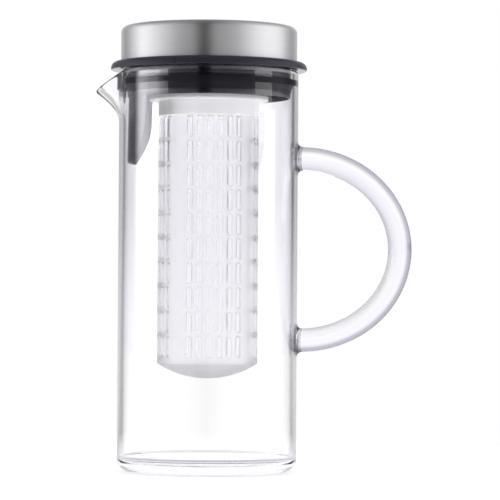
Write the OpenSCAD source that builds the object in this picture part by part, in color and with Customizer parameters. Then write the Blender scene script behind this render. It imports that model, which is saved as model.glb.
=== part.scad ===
// Fruit infuser pitcher: a glass jug with a drawn spout and a welded rod handle, a stopper lid
// under a brushed steel cap, and a slotted infuser tube that screws up into the lid.
// Millimetres. The origin is on the table at the centre of the base, +Z is up, the spout points
// along -X and the handle along +X.

/* [Glass body] */
// Outside diameter of the straight glass wall
body_d = 100; // [92:1:112]
// Thickness of the glass wall
wall_t = 3; // [2.4:0.1:3.6]
// Thickness of the glass floor
floor_t = 5; // [4:0.5:8]
// Outside radius where the wall turns into the base
base_corner_r = 7; // [5:0.5:10]
// Height of the polished rim above the table
rim_h = 223.2; // [215:0.2:235]

/* [Spout] */
// How far the spout's tip stands out from the wall
spout_reach = 12.8; // [9:0.2:15]
// How far the tip lies below the rim
spout_drop = 10.2; // [6:0.2:12]
// Height of the stretch of wall that the spout is drawn from
spout_h = 28.2; // [24:0.2:34]
// Half of the angle of wall that the spout takes up
spout_half_angle = 22; // [18:1:30]

/* [Handle] */
// Diameter of the glass rod
rod_d = 13.2; // [11:0.2:15]
// Height of the handle's middle above the table
handle_mid_h = 124.1; // [115:0.1:130]
// Height between the centre lines of the two arms
handle_span = 101.4; // [96:0.2:108]
// How far the rod's centre line stands out from the wall
handle_out = 57.3; // [54:0.1:64]
// Straight length of rod at each weld
arm_l = 1.9; // [1:0.1:4]
// Radius of the glass fillet round each weld
weld_r = 3; // [2:0.2:4]

/* [Cap] */
// How far the cap's side stands in from the flange's edge
cap_in = 5.55; // [4:0.05:7]
// Height of the cap's straight side
cap_side_h = 16.4; // [14:0.2:24]
// Outside radius of the cap's top corner
cap_corner_r = 3.5; // [2.5:0.1:5]
// How far the middle of the cap's top stands above its edge
cap_crown = 0.8; // [0.4:0.1:1.6]
// Thickness of the cap's sheet steel
cap_t = 0.7; // [0.5:0.1:1]

/* [Flange] */
// How far the black flange ring stands out over the glass
flange_out = 4.75; // [3:0.25:8]
// Thickness of the flange ring
flange_t = 4.6; // [4.2:0.1:6]
// Radius of the flange's upper edge
flange_top_r = 3.4; // [2:0.1:3.6]
// Radius of the flange's lower edge
flange_low_r = 0.8; // [0.4:0.1:1]
// Width of the index groove across the flange's edge
index_w = 0.6; // [0.4:0.1:1]
// Depth of the index groove
index_depth = 0.5; // [0.3:0.1:0.8]
// Angle of the index groove, counted from +X
index_angle = 251; // [0:1:359]

/* [Plug] */
// How deep the plug reaches below the flange
plug_h = 15.6; // [14:0.1:20]
// Gap between the plug's skirt and the glass
plug_gap = 1.2; // [0.5:0.1:1.6]
// Thickness of the skirt
skirt_t = 1; // [0.9:0.1:2]
// Thickness of the plug's deck
deck_t = 3; // [2:0.5:4]
// Thickness of the radial ribs
rib_t = 1.2; // [1:0.1:2]
// How deep the ribs hang below the deck
rib_h = 6; // [4:0.5:8]

/* [Seal] */
// Height of the seal ring's lower edge above the plug's lower edge
seal_rise = 2.9; // [2:0.1:4]
// Height of the silicone seal ring
seal_h = 8.4; // [8:0.1:10]
// Depth of the groove that holds the seal ring
seal_groove = 0.4; // [0.3:0.05:0.6]
// Height of the sealing fin's middle above the seal's lower edge
fin_h = 5.6; // [4:0.1:6]
// Thickness of the sealing fin at its root
fin_root_t = 4; // [2:0.1:4]
// Thickness of the sealing fin at its edge
fin_edge_t = 3; // [0.8:0.1:3.2]
// Gap between the fin and the glass
fin_gap = 0.3; // [0.2:0.05:0.4]

/* [Pour guard] */
// Width of the guard, measured straight across
guard_w = 59; // [50:0.2:66]
// How far the guard hangs below the plug
guard_drop = 36.4; // [28:0.1:44]
// Radius of the guard's lower corners
guard_corner_r = 27; // [20:0.5:29]
// How far the guard's flat lower edge cuts into its corners
guard_cut = 3.5; // [1:0.5:6]
// Thickness of the guard's wall
guard_t = 0.7; // [0.5:0.1:1]
// How far the guard flares towards the glass over its drop
guard_flare = 0.6; // [0:0.1:0.8]
// Diameter of the rivets that hold the guard
rivet_d = 2.8; // [2:0.2:3.4]
// Diameter of the rivets' heads
rivet_head_d = 5.2; // [4:0.2:6]
// Angle from the middle of the guard to each rivet
rivet_angle = 25; // [15:1:35]

/* [Screws] */
// Diameter of the screws that hold the lid together
screw_d = 3; // [2.5:0.1:4]
// Diameter of the screw heads
screw_head_d = 5.6; // [5:0.1:7]
// Height of the screw heads
screw_head_h = 2; // [1.5:0.1:2.5]
// How far the screws reach into their bosses
screw_bite = 10; // [6:0.5:14]
// Diameter of the bosses in the cap's insert
boss_d = 8; // [7:0.2:10]

/* [Infuser] */
// Space between the infuser tube and the glass
infuser_gap = 19; // [17:0.5:23]
// Thickness of the tube's wall
infuser_t = 2; // [1.5:0.1:2.5]
// Length of the tube from the plug's lower edge to the start of its rounded end
infuser_l = 147.7; // [120:0.1:160]
// Depth of the rounded end
infuser_end_h = 8.4; // [4:0.1:10]
// How far the collar under the lid stands out from the tube
collar_out = 5.3; // [4:0.1:7]
// Thickness of the collar
collar_t = 3; // [2:0.1:4]
// How far the neck that screws into the lid stands out from the tube
neck_out = 2; // [1:0.1:3]
// Height of the neck above the collar
neck_h = 9; // [7:0.5:10]
// Gap between the neck and its socket
neck_gap = 0.3; // [0.2:0.05:0.5]
// Thickness of the flat silicone gasket above the collar
gasket_t = 1; // [0.8:0.1:1.5]

/* [Slots] */
// Width of a slot
slot_w = 3.3; // [2:0.1:3.6]
// Height of a slot
slot_h = 11.8; // [8:0.1:12.4]
// Height from one row of slots to the next
slot_pitch = 13.5; // [13:0.1:18]
// Distance from the plug's lower edge to the top of the first row
slot_start = 10.8; // [8:0.1:16]
// Number of slots side by side in a group
slots_in_group = 6; // [4:1:6]
// Angle from one slot to the next
slot_angle = 12; // [10:1:12]
// Angle of the middle of the first group, counted from +X
group_angle = 278; // [270:1:300]

/* [Hidden] */
$fn = 96;

// Clearances shared by the fits: pieces that rest on each other, snapped plastic, and drilled holes
seat_gap = 0.3;
snap_gap = 0.1;
hole_gap = 0.05;
// Overrun of the cuts that pass through a face
over = 1;
// Skin left between the drawn neck and the faces of the wall that it grows out of
neck_skin = 0.1;

body_r = body_d / 2;
bore_r = body_r - wall_t;
half_wall = wall_t / 2;
neck_z = rim_h - spout_h;

flange_r = body_r + flange_out;
flange_z = rim_h + seat_gap;
flange_top_z = flange_z + flange_t;

cap_r = flange_r - cap_in;
cap_corner_z = flange_top_z + cap_side_h;
cap_edge_z = cap_corner_z + cap_corner_r;

skirt_r = bore_r - plug_gap;
skirt_in_r = skirt_r - skirt_t;
plug_z = flange_z - plug_h;
deck_z = flange_z - deck_t;
spigot_r = skirt_in_r - snap_gap;

groove_r = skirt_r - seal_groove;
seal_z = plug_z + seal_rise;

guard_r = skirt_in_r - hole_gap;
guard_z = plug_z - guard_drop;
rivet_r = rivet_d / 2;
rivet_head_t = rivet_r * 0.7;
rivet_tip_r = groove_r - seal_groove / 2;
rivet_z = (plug_z + deck_z) / 2;

tube_r = bore_r - infuser_gap;
tube_in_r = tube_r - infuser_t;
neck_r = tube_r + neck_out;
collar_r = tube_r + collar_out;
socket_r = neck_r + neck_gap;
socket_out_r = collar_r;
gasket_z = plug_z;
socket_z = gasket_z + gasket_t + snap_gap;

screw_ring_r = (socket_out_r + skirt_in_r) / 2;
SCREW_ANGLES = [0, 120, 240];
RIB_ANGLES = [30, 60, 90, 270, 300, 330];

insert_r = cap_r - cap_t - snap_gap;
insert_t = skirt_t * 1.25;
insert_top_z = cap_edge_z - cap_t - snap_gap;

tube_end_z = plug_z - infuser_l;
slot_rows = floor((infuser_l - slot_start - slot_h) / slot_pitch) + 1;

// Points of an arc about a centre, from one angle to another in a number of steps
function arc(c, r, a0, a1, steps) =
    [for (i = [0 : steps]) c + r * [cos(a0 + (a1 - a0) * i / steps), sin(a0 + (a1 - a0) * i / steps)]];

// Radius of the circle that rises by h over a half width w
function crown_r(w, h) = (w * w + h * h) / (2 * h);

// Points of the crown from its edge, at half width w and height z, to its middle
function crown(w, h, z, steps) =
    let (r = crown_r(w, h), a = asin(w / r))
    [for (i = [1 : steps]) [r * sin(a * (1 - i / steps)), z + h - r + r * cos(a * (1 - i / steps))]];

// A ring about the Z axis
module ring(r_in, r_out, z0, z1) {
    difference() {
        translate([0, 0, z0]) cylinder(r = r_out, h = z1 - z0);
        translate([0, 0, z0 - over]) cylinder(r = r_in, h = z1 - z0 + 2 * over);
    }
}

// Share of the spout's pull at an angle a from its middle: a smooth bell
function pull_share(a) =
    abs(a) >= spout_half_angle ? 0 : (1 + cos(180 * a / spout_half_angle)) / 2;

// Power of the curve by which the spout leaves the wall
spout_curve = 1.8;
// Steps of the drawn neck: round the spout, round the rest, up the wall and over the rim
spout_steps = 16;
round_steps = 52;
rise_steps = 8;
rim_steps = 5;
neck_inner_r = (bore_r + neck_skin) / cos((180 - spout_half_angle) / round_steps);
neck_half = (body_r - neck_skin - neck_inner_r) / 2;
neck_mid_r = body_r - neck_skin - neck_half;

// One upright section of the drawn neck at angle a from the spout's middle, as [radius, height]:
// up the outside, over the rounded rim and down the inside, each half a wall from the middle curve
function neck_section(a) =
    let (
        w = pull_share(a),
        rise = spout_h - half_wall - spout_drop * w,
        p = function (t) [neck_mid_r + spout_reach * w * pow(t, spout_curve), neck_z + rise * t],
        slope = function (t) [spout_reach * w * spout_curve * pow(t, spout_curve - 1), rise],
        out = function (t) let (s = slope(t)) neck_half * [s.y, -s.x] / norm(s),
        lip = p(1),
        n = out(1),
        up = [-n.y, n.x]
    )
    concat(
        [[neck_mid_r + neck_half, neck_z - over]],
        [for (i = [0 : rise_steps]) p(i / rise_steps) + out(i / rise_steps)],
        [for (i = [1 : rim_steps - 1]) lip + n * cos(180 * i / rim_steps) + up * sin(180 * i / rim_steps)],
        [for (i = [rise_steps : -1 : 0]) p(i / rise_steps) - out(i / rise_steps)],
        [[neck_mid_r - neck_half, neck_z - over]]
    );

NECK_ANGLES = concat(
    [for (i = [0 : spout_steps - 1]) spout_half_angle * (2 * i / spout_steps - 1)],
    [for (i = [0 : round_steps - 1]) spout_half_angle + (360 - 2 * spout_half_angle) * i / round_steps]
);

// The neck and its spout, drawn from the wall as one closed skin
module drawn_neck() {
    sections = [for (a = NECK_ANGLES) neck_section(a)];
    columns = len(sections);
    rows = len(sections[0]);
    points = [
        for (i = [0 : columns - 1]) for (p = sections[i])
            [-p.x * cos(NECK_ANGLES[i]), p.x * sin(NECK_ANGLES[i]), p.y]
    ];
    faces = [
        for (i = [0 : columns - 1]) for (j = [0 : rows - 1])
            let (
                a = i * rows + j,
                b = i * rows + (j + 1) % rows,
                c = ((i + 1) % columns) * rows + (j + 1) % rows,
                d = ((i + 1) % columns) * rows + j
            )
            each [[a, c, b], [a, d, c]]
    ];
    polyhedron(points, faces);
}

// Half section of the straight body below the neck
module body_section() {
    inner_corner_r = base_corner_r - wall_t;
    polygon(concat(
        [[0, 0]],
        arc([body_r - base_corner_r, base_corner_r], base_corner_r, -90, 0, 8),
        [[body_r, neck_z], [bore_r, neck_z]],
        arc([bore_r - inner_corner_r, floor_t + inner_corner_r], inner_corner_r, 0, -90, 6),
        [[0, floor_t]]
    ));
}

module glass_body() {
    color([0.80, 0.87, 0.92, 0.35]) union() {
        rotate_extrude() body_section();
        drawn_neck();
    }
}

// The rod's centre line leaves the wall straight and then runs round half an ellipse
arm_rise = handle_span / 2;
bend_x = body_r + arm_l;
bend_reach = handle_out - arm_l;
// Sides of the rod's section, steps of its bend, and where its weld fillet is sampled
rod_sides = 20;
bend_steps = 34;
weld_shares = [0, 0.08, 0.25, 0.5, 0.75];

// Radius of the rod at a distance s from the wall: a hollow fillet, then the plain rod
function rod_radius(s) =
    let (u = max(0, min(1, 1 - s / weld_r))) rod_d / 2 + weld_r * (1 - sqrt(1 - u * u));

// A station of the rod at angle a round the bend, as [point, direction, radius]
function bend_station(a) =
    let (p = [bend_x + bend_reach * cos(a), arm_rise * sin(a)], t = [bend_reach * sin(a), -arm_rise * cos(a)])
    [p, t / norm(t), rod_radius(p.x - body_r)];

// A station of the upper arm at a distance s from the wall
function arm_station(s) =
    s > arm_l ? bend_station(acos((s - arm_l) / bend_reach)) : [[body_r + s, arm_rise], [1, 0], rod_radius(s)];

// The same station on the lower arm, where the rod runs back to the wall
function mirrored(station) = [[station[0].x, -station[0].y], [-station[1].x, station[1].y], station[2]];

module glass_handle() {
    weld_end = acos((weld_r - arm_l) / bend_reach);
    upper = [for (s = concat([-wall_t / 2], weld_shares * weld_r)) arm_station(s)];
    bend = [for (i = [0 : bend_steps]) bend_station(weld_end * (1 - 2 * i / bend_steps))];
    stations = concat(upper, bend, [for (i = [len(upper) - 1 : -1 : 0]) mirrored(upper[i])]);
    last = len(stations) - 1;
    points = [
        for (s = stations) for (k = [0 : rod_sides - 1])
            let (a = 360 * k / rod_sides, side = s[2] * cos(a), n = [-s[1].y, s[1].x])
            [s[0].x + n.x * side, s[2] * sin(a), handle_mid_h + s[0].y + n.y * side]
    ];
    skin = [
        for (i = [0 : last - 1]) for (k = [0 : rod_sides - 1])
            let (
                a = i * rod_sides + k,
                b = i * rod_sides + (k + 1) % rod_sides,
                c = b + rod_sides,
                d = a + rod_sides
            )
            each [[a, c, b], [a, d, c]]
    ];
    ends = [[for (k = [0 : rod_sides - 1]) k], [for (k = [rod_sides - 1 : -1 : 0]) last * rod_sides + k]];
    color([0.80, 0.87, 0.92, 0.35]) difference() {
        polyhedron(points, concat(skin, ends));
        cylinder(r = body_r, h = rim_h);
    }
}

// Outline of one face of the cap in half section, from the foot of its side to its middle
function cap_outline(r, corner_r) = concat(
    [[r, flange_top_z]],
    arc([cap_r - cap_corner_r, cap_corner_z], corner_r, 0, 90, 8),
    crown(cap_r - cap_corner_r, cap_crown, cap_corner_z + corner_r, 8)
);

function reversed(list) = [for (i = [len(list) - 1 : -1 : 0]) list[i]];

// The pressed steel cap: straight side, rounded corner and slightly crowned top
module lid_cap() {
    color([0.72, 0.71, 0.70]) rotate_extrude() polygon(concat(
        cap_outline(cap_r, cap_corner_r),
        reversed(cap_outline(cap_r - cap_t, cap_corner_r - cap_t))
    ));
}

// The moulded insert that the steel cap is pressed on, with a boss for each screw
module cap_insert() {
    bevel = cap_corner_r;
    color([0.13, 0.13, 0.14]) difference() {
        union() {
            rotate_extrude() polygon([
                [insert_r - insert_t, flange_top_z], [insert_r, flange_top_z],
                [insert_r, insert_top_z - bevel], [insert_r - bevel, insert_top_z],
                [0, insert_top_z], [0, insert_top_z - insert_t],
                [insert_r - bevel, insert_top_z - insert_t], [insert_r - insert_t, insert_top_z - bevel - insert_t]
            ]);
            for (a = SCREW_ANGLES) rotate([0, 0, a]) translate([screw_ring_r, 0, flange_z])
                cylinder(d = boss_d, h = insert_top_z - insert_t / 2 - flange_z);
        }
        for (a = SCREW_ANGLES) rotate([0, 0, a]) translate([screw_ring_r, 0, flange_z - over])
            cylinder(r = screw_d / 2 + hole_gap, h = screw_bite + over + hole_gap);
    }
}

// A fine upright groove in a round edge of radius r, between two heights
module index_cut(r, z0, z1) {
    rotate([0, 0, index_angle]) translate([r - index_depth, -index_w / 2, z0])
        cube([index_depth + over, index_w, z1 - z0]);
}

// The black ring that is clamped under the cap and rests over the rim of the glass
module flange_ring() {
    color([0.10, 0.10, 0.11]) difference() {
        rotate_extrude() polygon(concat(
            [[spigot_r + snap_gap, flange_top_z], [spigot_r + snap_gap, flange_z]],
            arc([flange_r - flange_low_r, flange_z + flange_low_r], flange_low_r, -90, 0, 4),
            arc([flange_r - flange_top_r, flange_top_z - flange_top_r], flange_top_r, 0, 90, 8)
        ));
        index_cut(flange_r, flange_z - over, flange_top_z - flange_top_r / 2);
    }
}

// The moulded stopper: skirt, deck, socket for the infuser, spigot for the flange ring, and ribs
module lid_plug() {
    color([0.10, 0.10, 0.11]) difference() {
        union() {
            rotate_extrude() polygon([
                [skirt_in_r, plug_z], [skirt_r, plug_z], [skirt_r, seal_z], [groove_r, seal_z],
                [groove_r, seal_z + seal_h], [skirt_r, seal_z + seal_h], [skirt_r, flange_z],
                [spigot_r, flange_z], [spigot_r, flange_top_z], [spigot_r - skirt_t, flange_top_z],
                [spigot_r - skirt_t, flange_z], [0, flange_z], [0, deck_z], [skirt_in_r, deck_z]
            ]);
            ring(socket_r, socket_out_r, socket_z, deck_z + deck_t / 2);
            for (a = RIB_ANGLES) rotate([0, 0, a])
                translate([socket_out_r - neck_gap, -rib_t / 2, deck_z - rib_h])
                    cube([skirt_in_r + skirt_t / 4 - socket_out_r + neck_gap, rib_t, rib_h + deck_t / 2]);
        }
        for (a = SCREW_ANGLES) rotate([0, 0, a]) translate([screw_ring_r, 0, deck_z - over])
            cylinder(r = screw_d / 2 + hole_gap, h = deck_t + 2 * over);
        for (s = [-1, 1]) rotate([0, 0, 180 + s * rivet_angle]) translate([skirt_in_r - over, 0, rivet_z])
            rotate([0, 90, 0]) cylinder(r = rivet_r + hole_gap, h = rivet_tip_r + snap_gap - skirt_in_r + over);
        index_cut(skirt_r, seal_z + seal_h, flange_z + over);
    }
}

// The silicone ring in the skirt's groove, with the fin that wipes the glass
module seal_ring() {
    fin_z = seal_z + fin_h;
    band_r = skirt_r + hole_gap;
    color([0.07, 0.07, 0.08]) rotate_extrude() polygon([
        [groove_r + hole_gap, seal_z + hole_gap], [band_r, seal_z + hole_gap],
        [band_r, fin_z - fin_root_t / 2], [bore_r - fin_gap, fin_z - fin_edge_t / 2],
        [bore_r - fin_gap, fin_z + fin_edge_t / 2], [band_r, fin_z + fin_root_t / 2],
        [band_r, seal_z + seal_h - hole_gap], [groove_r + hole_gap, seal_z + seal_h - hole_gap]
    ]);
}

// Outline of the guard seen from the spout: a tongue with straight sides, broad round lower corners
// and a flat lower edge that cuts them off
module guard_outline() {
    top_z = deck_z - snap_gap;
    corner_z = guard_z - guard_cut + guard_corner_r;
    intersection() {
        translate([-guard_w / 2, guard_z]) square([guard_w, top_z - guard_z]);
        union() {
            translate([-guard_w / 2, corner_z]) square([guard_w, top_z - corner_z]);
            hull() for (s = [-1, 1]) translate([s * (guard_w / 2 - guard_corner_r), corner_z])
                circle(r = guard_corner_r);
        }
    }
}

// The curved black tongue that keeps ice and fruit out of the spout
module pour_guard() {
    color([0.10, 0.10, 0.11]) difference() {
        intersection() {
            rotate_extrude() polygon([
                [guard_r - guard_t, deck_z], [guard_r, deck_z], [guard_r, plug_z],
                [guard_r + guard_flare, guard_z - over], [guard_r + guard_flare - guard_t, guard_z - over],
                [guard_r - guard_t, plug_z]
            ]);
            rotate([90, 0, -90]) linear_extrude(body_r) guard_outline();
        }
        for (s = [-1, 1]) rotate([0, 0, 180 + s * rivet_angle])
            translate([guard_r - guard_t - over, 0, rivet_z])
                rotate([0, 90, 0]) cylinder(r = rivet_r + hole_gap, h = guard_t + 2 * over);
    }
}

// The two rivets that hold the guard against the inside of the skirt
module guard_rivets() {
    head_r = guard_r - guard_t - hole_gap;
    color([0.65, 0.65, 0.66]) for (s = [-1, 1]) rotate([0, 0, 180 + s * rivet_angle])
        translate([0, 0, rivet_z]) rotate([0, 90, 0]) {
            translate([0, 0, head_r - rivet_head_t]) cylinder(r = rivet_r, h = rivet_tip_r - head_r + rivet_head_t);
            translate([0, 0, head_r - rivet_head_t])
                cylinder(d1 = rivet_head_d * 0.7, d2 = rivet_head_d, h = rivet_head_t);
        }
}

// The screws that pull the plug up to the cap's insert
module lid_screws() {
    color([0.62, 0.62, 0.63]) for (a = SCREW_ANGLES) rotate([0, 0, a]) translate([screw_ring_r, 0, deck_z]) {
        translate([0, 0, -screw_head_h]) cylinder(d = screw_head_d, h = screw_head_h);
        cylinder(d = screw_d, h = deck_t + screw_bite);
    }
}

// The flat silicone gasket on the infuser's collar
module infuser_gasket() {
    color([0.85, 0.86, 0.87]) ring(socket_r, socket_out_r - snap_gap, gasket_z, gasket_z + gasket_t);
}

// Points of a bowl below height z, from its edge at half width w to its middle, h deep
function bowl(w, h, z, steps) = [for (p = crown(w, h, 0, steps)) [p.x, z - p.y]];

// Half section of the infuser tube: neck, collar, wall and rounded end
module tube_section() {
    top_z = plug_z + neck_h;
    collar_z = plug_z - collar_t;
    polygon(concat(
        [[tube_in_r, top_z], [neck_r, top_z], [neck_r, plug_z], [collar_r, plug_z],
            [collar_r, collar_z], [tube_r, collar_z - collar_t], [tube_r, tube_end_z]],
        bowl(tube_r, infuser_end_h, tube_end_z, 8),
        reversed(bowl(tube_in_r, infuser_end_h - infuser_t, tube_end_z, 8)),
        [[tube_in_r, tube_end_z]]
    ));
}

// One column of slots, as seen square on to the tube, each end turned in three short steps
module slot_column() {
    end_r = slot_w / 2;
    for (row = [0 : slot_rows - 1]) translate([0, plug_z - slot_start - row * slot_pitch])
        polygon(concat(arc([0, -end_r], end_r, 0, 180, 3), arc([0, end_r - slot_h], end_r, 180, 360, 3)));
}

// The slotted tube that holds the fruit; each column is cut through both of its walls
module infuser_tube() {
    color([0.86, 0.87, 0.88, 0.8]) difference() {
        rotate_extrude() tube_section();
        for (k = [0, 1]) for (i = [0 : slots_in_group - 1])
            rotate([0, 0, group_angle + 90 * k + (i - (slots_in_group - 1) / 2) * slot_angle])
                rotate([90, 0, 90]) linear_extrude(2 * tube_r + over, center = true) slot_column();
    }
}

glass_body();
glass_handle();
lid_cap();
cap_insert();
flange_ring();
lid_plug();
seal_ring();
pour_guard();
guard_rivets();
lid_screws();
infuser_gasket();
infuser_tube();
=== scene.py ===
from math import cos, pi, radians, sin

import bpy
import numpy as np
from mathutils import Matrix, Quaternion, Vector


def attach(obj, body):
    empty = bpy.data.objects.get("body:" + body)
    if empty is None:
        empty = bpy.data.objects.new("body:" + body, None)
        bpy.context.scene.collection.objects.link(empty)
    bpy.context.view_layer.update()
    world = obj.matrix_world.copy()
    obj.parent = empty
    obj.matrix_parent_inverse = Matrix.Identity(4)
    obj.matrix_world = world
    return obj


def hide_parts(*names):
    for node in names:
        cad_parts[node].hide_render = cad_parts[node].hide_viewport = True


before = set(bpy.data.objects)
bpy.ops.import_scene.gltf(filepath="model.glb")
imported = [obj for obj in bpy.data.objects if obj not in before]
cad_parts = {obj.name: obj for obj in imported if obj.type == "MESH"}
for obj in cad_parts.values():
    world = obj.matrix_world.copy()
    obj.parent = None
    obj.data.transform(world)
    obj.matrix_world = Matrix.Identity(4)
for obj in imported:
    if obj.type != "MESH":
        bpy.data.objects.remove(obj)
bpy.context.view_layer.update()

# The glass jug. A straight borosilicate tube, closed at the base with a thick floor, with a fire
# polished rim. The spout is drawn out of the hot neck, so its wall runs on into the tube's without
# an edge. Everything else hangs in this piece or stands on its rim.
mm = 0.001
body_r, wall_t, floor_t = 50.0, 3.0, 5.0
base_corner_r, rim_h, inner_bend_r = 7.0, 223.2, 4.0
spout_reach, spout_drop, spout_h, spout_curve = 12.8, 10.2, 28.2, 1.8
spout_half_angle = radians(22)
spout_crowding = 0.62
bore_r = body_r - wall_t
neck_z = rim_h - spout_h
foot_r, foot_rise = 40.0, 1.0
foot_clear, foot_clear_r, foot_fade = 0.12, 39.0, 3.0
# These two lines set the painted shade on the jug's edges, on its drawn glass and along the spout's lip.
drawn_shade_start, lip_shade_fade = 1.5, 4
shade_power, drawn_shade_from, lip_shade_from, shade_fade = 7, 0.55, 0.4, 0.2
smooth_to = radians(40)


def skin(grid, around=True, along=False):
    """Quads over a grid of points. Row i and row i + 1 are joined column by column; around joins
    the last column to the first, and along joins the last row to the first."""
    rows, columns = grid.shape[:2]
    i, j = np.meshgrid(np.arange(rows - (not along)), np.arange(columns - (not around)), indexing="ij")
    below, right = (i + 1) % rows, (j + 1) % columns
    quads = np.stack([i * columns + j, below * columns + j, below * columns + right, i * columns + right], -1)
    return grid.reshape(-1, 3), quads.reshape(-1, 4)


def joined(*skins):
    """Several skins as one, with the corners of each counted on from the last."""
    starts = np.cumsum([0] + [len(points) for points, _ in skins[:-1]])
    return np.concatenate([p for p, _ in skins]), np.concatenate([q + s for (_, q), s in zip(skins, starts)])


def welded(points, quads):
    """Points within a ten thousandth of a millimetre become one, and a closed skin that is inside
    out is turned: its volume is the sum of the wedges between its faces and the origin."""
    _, first, back = np.unique(np.round(points, 4), axis=0, return_index=True, return_inverse=True)
    points, quads = points[first], back.reshape(-1)[quads]
    a, b, c, d = (points[quads[:, k]] for k in range(4))
    volume = np.einsum("ij,ij->", a, np.cross(b, c) + np.cross(c, d))
    return points, quads if volume > 0 else quads[:, ::-1]


def build(name, *skins, sharp=smooth_to):
    """A mesh object of closed skins, each welded by itself. A quad with a doubled corner is a
    triangle, as round a pole."""
    points, quads = joined(*[welded(*s) for s in skins])
    doubled = quads == np.roll(quads, 1, axis=1)
    count = 4 - doubled.sum(1)
    triangles = quads[count == 3][~doubled[count == 3]].reshape(-1, 3)
    mesh = bpy.data.meshes.new(name)
    mesh.from_pydata((points * mm).tolist(), [], quads[count == 4].tolist() + triangles.tolist())
    mesh.shade_smooth()
    mesh.set_sharp_from_angle(angle=sharp)
    piece = bpy.data.objects.new(name, mesh)
    bpy.context.scene.collection.objects.link(piece)
    return piece


def arc(centre, r, start, end, steps):
    """Points on a circle about centre, from one angle to another in degrees."""
    a = np.radians(np.linspace(start, end, steps + 1))
    return np.stack([centre[0] + r * np.cos(a), centre[1] + r * np.sin(a)], -1)


def line(a, b, steps):
    """Points on a straight line from a to b."""
    return np.linspace(a, b, steps + 1)


def pull(angle):
    """Share of the spout's draw at an angle from its middle: half of one plus the cosine of the
    angle, stretched so that the bell ends at the spout's half angle."""
    bell = (1 + np.cos(pi * angle / spout_half_angle)) / 2
    return np.where(np.abs(angle) < spout_half_angle, bell, 0)


def neck(angle, t, side):
    """Radius and height on the drawn neck. The middle of the wall leans out by the reach times the
    pull times t to the spout's power, while the rim sinks by the drop times the pull. The surface
    lies half a wall from it, square to its slope: outside at side 1, inside at -1, and over the
    half round rim in between, where side is the cosine of the turn."""
    share = pull(angle)
    rise = spout_h - wall_t / 2 - spout_drop * share
    lean = spout_reach * share
    r, z = bore_r + wall_t / 2 + lean * t ** spout_curve, neck_z + rise * t
    slope_r, slope_z = lean * spout_curve * t ** (spout_curve - 1), rise
    length = np.hypot(slope_r, slope_z)
    over = np.sqrt(np.clip(1 - side ** 2, 0, 1))
    r = r + wall_t / 2 * (side * slope_z + over * slope_r) / length
    z = z + wall_t / 2 * (over * slope_z - side * slope_r) / length
    return r, z


def turned(profile, angles):
    """A profile of radii and heights carried round the upright axis."""
    r, z = profile[:, :1], profile[:, 1:]
    return np.stack([r * np.cos(angles), r * np.sin(angles), z + 0 * angles], -1)


def spout_columns(count):
    """Angles from the spout's middle, all the way round: even steps less a share of their sine, so
    that they crowd together across the spout."""
    even = pi * np.linspace(-1, 1, count, endpoint=False)
    return even - spout_crowding * np.sin(even)


def jug_points():
    """The jug's skin from the middle of its underside, up the outside, over the rim and down the
    inside to the middle of its floor."""
    angle = spout_columns(480)
    under = line([0, 0], [foot_r, 0], 8)
    under[:, 1] = foot_rise * (1 - (under[:, 0] / foot_r) ** 2) ** 2
    corner = arc([body_r - base_corner_r, base_corner_r], base_corner_r, -90, 0, 16)
    bend = arc([bore_r - inner_bend_r, floor_t + inner_bend_r], inner_bend_r, 0, -90, 12)
    floor = line([bore_r - inner_bend_r, floor_t], [0, floor_t], 8)
    outside = np.concatenate([under, corner[:-1], line(corner[-1], [body_r, neck_z], 14)[:-1]])
    inside = np.concatenate([line([bore_r, neck_z], bend[0], 14)[1:], bend[1:], floor[1:]])
    t = np.concatenate([line(0, 1, 30), np.ones(13), line(1, 0, 30)])[:, None]
    side = np.concatenate([np.ones(31), np.cos(np.linspace(0, pi, 15))[1:-1], -np.ones(31)])[:, None]
    r, z = neck(angle[None, :], t, side)
    drawn = np.stack([r * np.cos(angle + pi), r * np.sin(angle + pi), z + 0 * r], -1)
    return np.concatenate([turned(outside, angle + pi), drawn, turned(inside, angle + pi)])


class Sig:
    """A number, colour or vector on a shader socket. Arithmetic on numbers adds Math nodes."""

    def __init__(self, tree, socket):
        self.tree, self.socket = tree, socket

    def math(self, operation, *values):
        return self.tree.node("ShaderNodeMath", {"operation": operation}, dict(enumerate(values)))

    def __add__(self, other):
        return self.math("ADD", self, other)

    def __sub__(self, other):
        return self.math("SUBTRACT", self, other)

    def __rsub__(self, other):
        return self.math("SUBTRACT", other, self)

    def __mul__(self, other):
        return self.math("MULTIPLY", self, other)

    def __truediv__(self, other):
        return self.math("DIVIDE", self, other)

    def __pow__(self, other):
        return self.math("POWER", self, other)

    __radd__, __rmul__ = __add__, __mul__

    def clipped(self):
        return self.tree.node("ShaderNodeClamp", {}, {"Value": self})


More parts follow.
